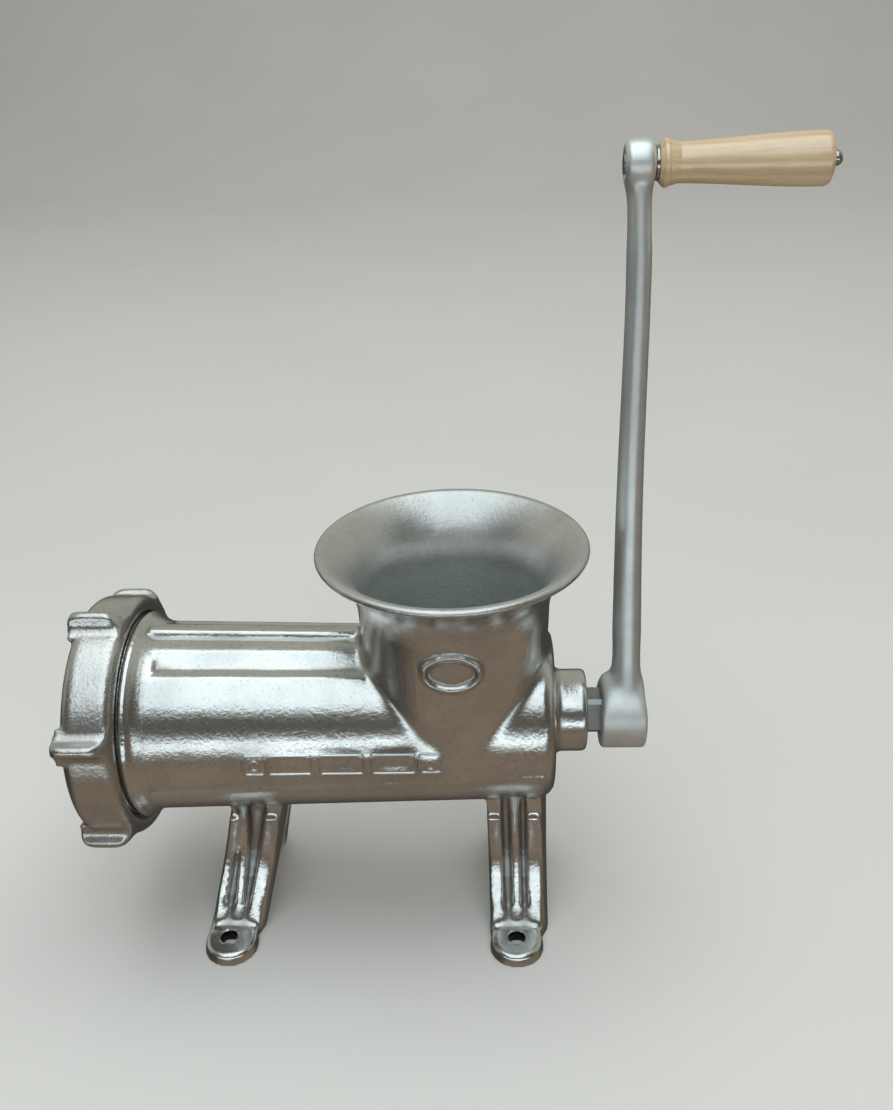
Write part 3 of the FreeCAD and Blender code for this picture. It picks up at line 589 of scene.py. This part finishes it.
def thinned(thing, faces):
    """Bring a piece down to about this many triangles."""
    triangles = 2 * len(thing.data.polygons)
    if triangles > faces:
        modifier = thing.modifiers.new("thin", "DECIMATE")
        modifier.ratio = faces / triangles
        applied(thing)
    for polygon in thing.data.polygons:
        polygon.use_smooth = True


def ramp(values, low, high):
    """0 at low, 1 at high, straight between them. Low may be the larger of the two."""
    return np.clip((values - low) / (high - low), 0, 1)


def surface_tree(thing):
    """Search tree of a piece's faces, for rays."""
    return BVHTree.FromPolygons([v.co for v in thing.data.vertices],
                                [p.vertices for p in thing.data.polygons])


def dropped(tree, starts, direction):
    """Where rays from these starts first meet a surface, with its normals."""
    places, normals = [], []
    for start in starts:
        place, normal, _, _ = tree.ray_cast(start, direction)
        if place is not None:
            places.append(place)
            normals.append(normal)
    return places, normals


def bead(places, normals, width, height):
    """Half-round raised line along a closed path on a surface, as points and faces."""
    count, steps = len(places), 8
    smooth = []
    for i in range(count):
        near = [normals[(i + k) % count] for k in range(-3, 4)]
        smooth.append(sum(near, Vector()).normalized())
    points, faces = [], []
    for i in range(count):
        side = (places[(i + 1) % count] - places[i - 1]).cross(smooth[i]).normalized()
        for k in range(steps + 1):
            turn = math.pi * (1.2 * k / steps - 0.1)
            across = side * (math.cos(turn) * width / 2)
            points.append(places[i] + across + smooth[i] * (math.sin(turn) * height - 0.05 * MM))
    for i in range(count):
        a, b = i * (steps + 1), ((i + 1) % count) * (steps + 1)
        for k in range(steps):
            faces.append((a + k, a + k + 1, b + k + 1, b + k))
    return points, faces


def rounded_loop(x, z, half_x, half_z, corner):
    """Closed path of (x, z) places round a rectangle with rounded corners."""
    path = []
    for quarter, (sx, sz) in enumerate(((1, 1), (-1, 1), (-1, -1), (1, -1))):
        for step in range(7):
            angle = math.radians(90 * quarter + 15 * step)
            path.append((x + sx * (half_x - corner) + corner * math.cos(angle),
                         z + sz * (half_z - corner) + corner * math.sin(angle)))
    full = []
    for (xa, za), (xb, zb) in zip(path, path[1:] + path[:1]):
        cuts = max(1, round(math.hypot(xb - xa, zb - za) / (0.7 * MM)))
        full += [(xa + (xb - xa) * k / cuts, za + (zb - za) * k / cuts) for k in range(cuts)]
    return full


# ---- castings -----------------------------------------------------------------------------
def housing_casting():
    """Barrel, hopper and legs with cast fillets."""
    thing = cast_copy("housing", "housing_casting", HOUSING_VOXEL)
    points = points_of(thing.data)
    x, y, z = points.T
    around_hopper = np.hypot(x - HOPPER_X, y)
    around_barrel = np.hypot(y, z - AXIS_Z)
    relax(thing.data, np.ones(len(points)), 4)
    junction = (ramp(np.abs(around_hopper - HOPPER_R), 7 * MM, 2 * MM)
                * ramp(np.abs(around_barrel - BARREL_R), 8 * MM, 3 * MM)
                * ramp(z, AXIS_Z - 22 * MM, AXIS_Z - 12 * MM))
    relax(thing.data, junction, 40, shares=SOFTEN)
    legs = ramp(z, AXIS_Z - 42 * MM, AXIS_Z - 52 * MM) * ramp(z, 9 * MM, 13 * MM)
    relax(thing.data, legs, 11, shares=SOFTEN)
    relax(thing.data, legs, 16)
    foot_joints = (ramp(z, 4.5 * MM, 6.5 * MM) * ramp(z, 22 * MM, 15 * MM)
                   * ramp(np.abs(y), 33 * MM, 37 * MM) * ramp(np.abs(y), 48 * MM, 46 * MM))
    relax(thing.data, foot_joints, 26, shares=SOFTEN)
    strip = (ramp(y, -42 * MM, -45 * MM) * ramp(np.abs(z - STRIP_Z), 13 * MM, 9 * MM)
             * ramp(x, -66 * MM, -62 * MM) * ramp(x, 50 * MM, 46 * MM))
    relax(thing.data, strip, 40, shares=SOFTEN)
    mark_hollows(thing.data, HOLLOW_ROUNDS, HOLLOW_DEPTH)
    thinned(thing, HOUSING_FACES)
    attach(thing, "root")
    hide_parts("housing")
    material = tinned_material("tinned_iron_look", (0.76, 0.77, 0.765), 0.19, housing=True)
    set_material(thing, material)
    raised_lines(thing, material)


def raised_lines(casting, material):
    """Cast relief on the barrel: three blank frames and two small bosses."""
    tree = surface_tree(casting)
    shapes = [(x, FRAME_LOOP) for x in FRAME_XS]
    shapes += [(x, loop) for x in BOSS_XS for loop in BOSS_LOOPS]
    points, faces = [], []
    for x, (half_x, half_z, corner) in shapes:
        loop = rounded_loop(x * MM, STRIP_Z, half_x * MM, half_z * MM, corner * MM)
        starts = [Vector((x, -0.1, z)) for x, z in loop]
        places, normals = dropped(tree, starts, Vector((0, 1, 0)))
        bead_points, bead_faces = bead(places, normals, LINE_WIDTH, LINE_HEIGHT)
        base = len(points)
        points += bead_points
        faces += [tuple(base + i for i in face) for face in bead_faces]
    mesh = bpy.data.meshes.new("raised_lines")
    mesh.from_pydata(points, [], faces)
    for polygon in mesh.polygons:
        polygon.use_smooth = True
    lines = new_object("raised_lines", mesh)
    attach(lines, "root")
    set_material(lines, material)


def ring_casting():
    """Ring nut with rounded lugs."""
    thing = cast_copy("ring_nut", "ring_nut_casting", RING_VOXEL)
    points = points_of(thing.data)
    reach = np.hypot(points[:, 1], points[:, 2] - AXIS_Z)
    lugs = ramp(reach, LUG_ROOT_R, LUG_FULL_R)
    relax(thing.data, lugs, 12, shares=SOFTEN)
    relax(thing.data, np.ones(len(points)), 4, shares=SOFTEN)
    relax(thing.data, np.ones(len(points)), 6)
    mark_hollows(thing.data, HOLLOW_ROUNDS, HOLLOW_DEPTH)
    thinned(thing, RING_FACES)
    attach(thing, "ring")
    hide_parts("ring_nut")
    set_material(thing, tinned_material("tinned_ring_look", (0.69, 0.69, 0.68), 0.26, grain=1.4))


def crank_casting():
    """Crank arm with softened hub and eye."""
    thing = cast_copy("crank_arm", "crank_casting", CRANK_VOXEL)
    _, y, z = points_of(thing.data).T
    along = y * math.sin(LEAN) + (z - AXIS_Z) * math.cos(LEAN)
    hub_end = ramp(along, 4 * MM, 14 * MM) * ramp(along, 46 * MM, 34 * MM)
    eye_end = ramp(along, THROW - 40 * MM, THROW - 28 * MM)
    eye_end *= 0.35 + 0.65 * ramp(along, THROW - 4 * MM, THROW - 14 * MM)
    relax(thing.data, np.maximum(hub_end, eye_end), 110, shares=SOFTEN)
    relax(thing.data, np.ones(len(thing.data.vertices)), 6)
    mark_hollows(thing.data, HOLLOW_ROUNDS, HOLLOW_DEPTH)
    thinned(thing, CRANK_FACES)
    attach(thing, "rotor")
    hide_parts("crank_arm")
    set_material(thing, crank_material())


def cad_materials():
    """Better materials on the CAD nodes that stay."""
    steel = turned_material("machined_steel_look", (0.60, 0.60, 0.60), 0.22, (2500.0, 120.0, 120.0))
    looks = {
        "knife_stud": steel,
        "cross_knife": steel,
        "plate_key_pin": steel,
        "grinding_plate": turned_material("plate_steel_look", (0.64, 0.64, 0.63), 0.26,
                                          (200.0, 900.0, 900.0)),
        "handle_spindle": turned_material("spindle_steel_look", (0.66, 0.66, 0.66), 0.20,
                                          (900.0, 900.0, 900.0), 0.15),
        "rear_bushing": turned_material("bronze_look", (0.62, 0.42, 0.20), 0.28,
                                        (2200.0, 150.0, 150.0)),
        "thrust_washer": fibre_material(),
        "crank_set_screw": turned_material("dark_steel_look", (0.10, 0.10, 0.105), 0.38,
                                           (900.0, 900.0, 900.0)),
        "feed_screw": turned_material("screw_iron_look", (0.36, 0.38, 0.39), 0.32,
                                      (500.0, 500.0, 500.0)),
        "handle_grip": wood_material(),
    }
    for washer in ("inner_spindle_washer", "outer_spindle_washer"):
        looks[washer] = looks["handle_spindle"]
    for node, material in looks.items():
        set_material(nodes[node], material)


world()
floor()
camera()
lights()
housing_casting()
ring_casting()
crank_casting()
cad_materials()
bpy.context.scene.view_settings.view_transform = "Standard"
